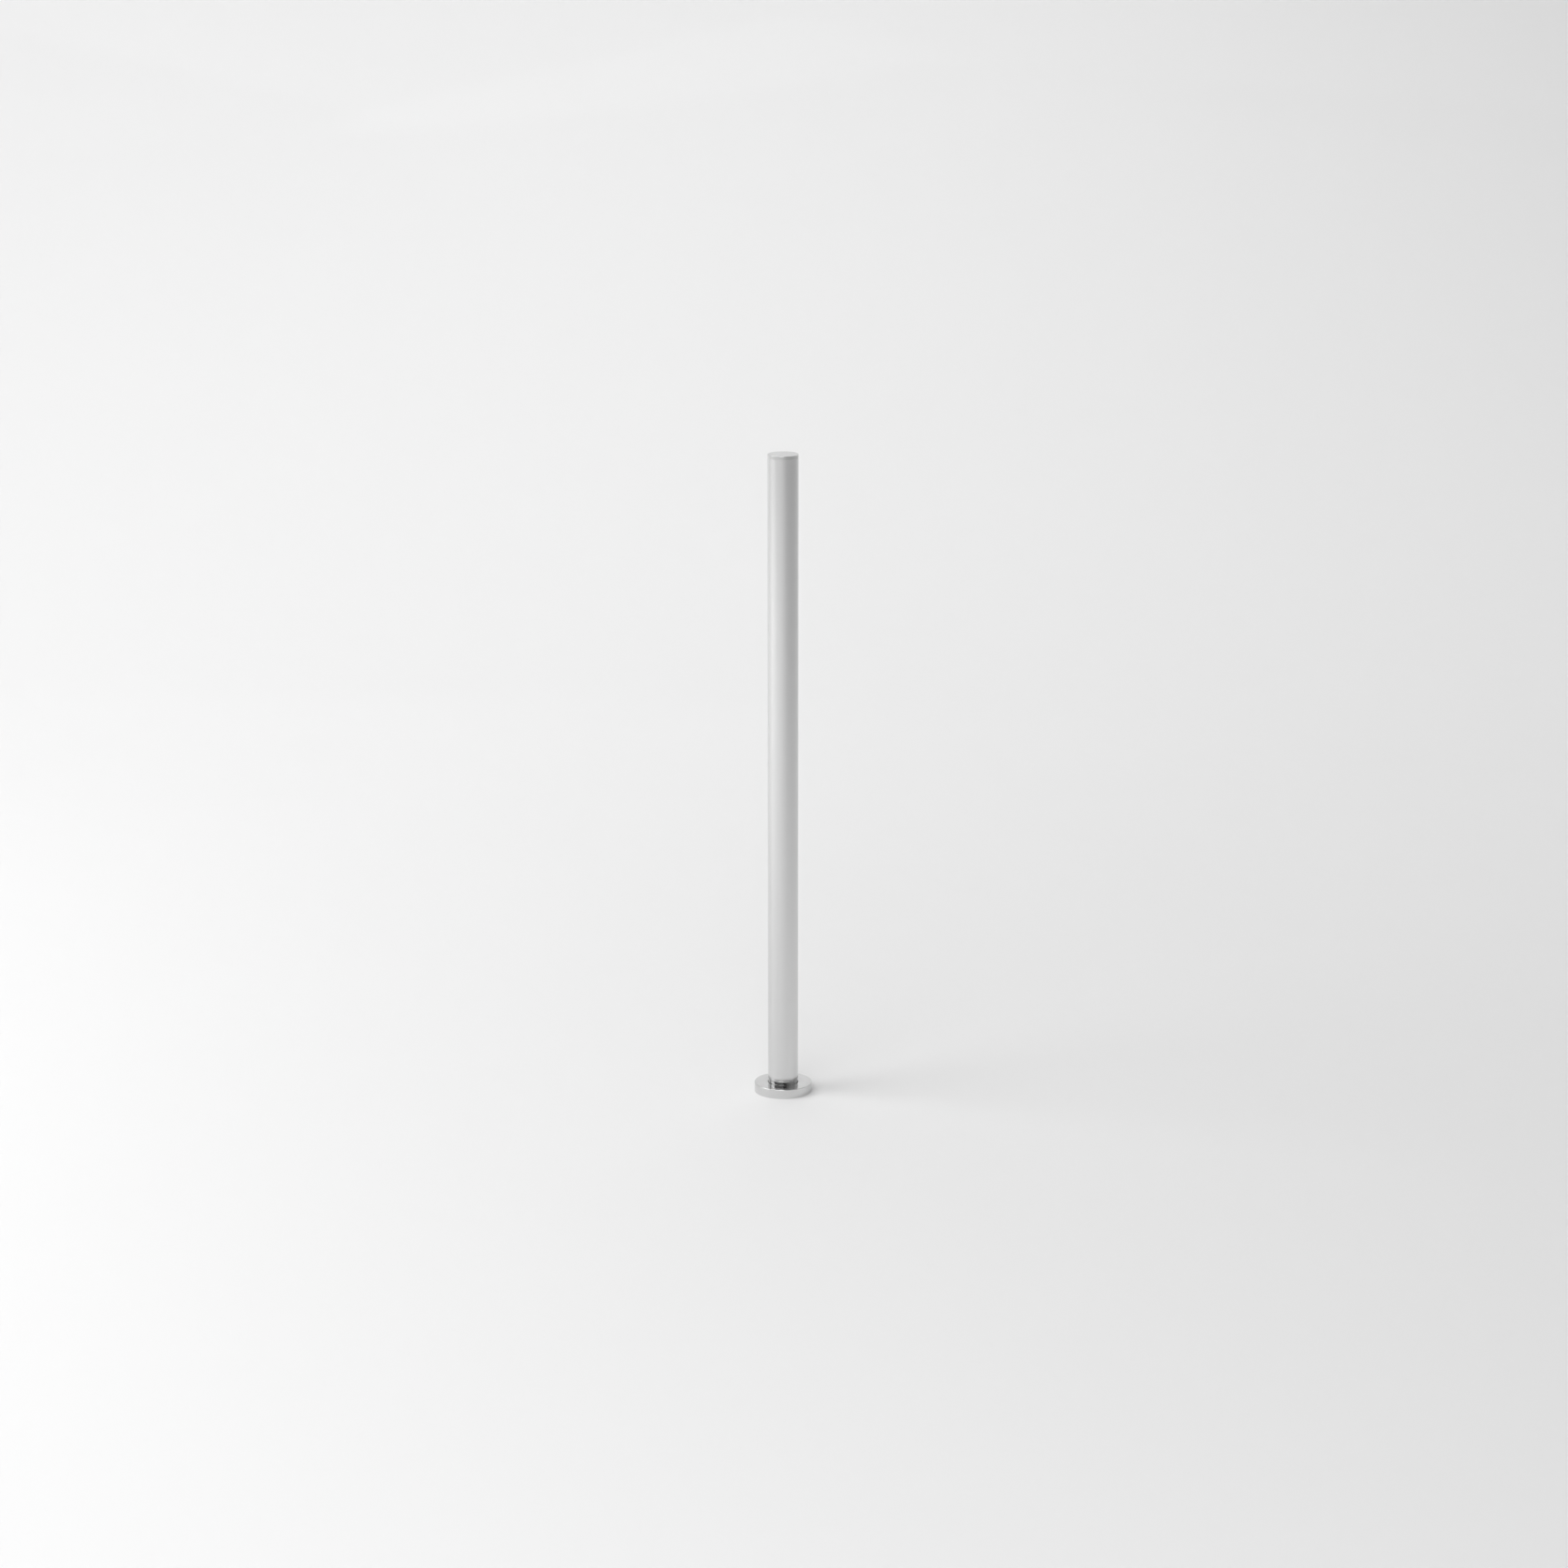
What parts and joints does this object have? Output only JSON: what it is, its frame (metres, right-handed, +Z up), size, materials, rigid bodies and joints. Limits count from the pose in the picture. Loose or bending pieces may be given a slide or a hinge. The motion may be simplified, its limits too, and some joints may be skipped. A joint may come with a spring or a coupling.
{
  "type": "steel safety bollard",
  "caption": "Slim round stainless-steel safety bollard on a short polished neck, bolted to the floor through a plate under a sliding round cover.",
  "frame": {"origin": "centre of the bollard's round footprint, on the floor", "axes": "+Z up along the post, +Y towards the rear, where the two tube screws are"},
  "size_m": [0.092, 0.092, 1.036],
  "materials": {
    "satin_steel": "satin",
    "polished_steel": "polished",
    "plate_steel": "satin",
    "screw_steel": "satin",
    "black_rubber": "matte"
  },
  "bodies": {
    "post": {"floor_gasket": "black_rubber", "base_plate": "plate_steel", "foot_screw": "screw_steel", "dowel_left": "screw_steel", "dowel_right": "screw_steel", "foot": "polished_steel", "foot_seal_lower": "black_rubber", "foot_seal_upper": "black_rubber", "post_tube": "satin_steel", "tube_screw_lower": "screw_steel", "tube_screw_upper": "screw_steel", "cap_seal_lower": "black_rubber", "cap_seal_upper": "black_rubber", "top_cap": "satin_steel", "cover_seal": "black_rubber"},
    "cover": {"base_cover": "polished_steel"}
  },
  "joints": [
    {"name": "cover_slide", "type": "slide", "parent": "post", "child": "cover", "axis": [0, 0, 1], "range_m": [0, 1]}
  ]
}
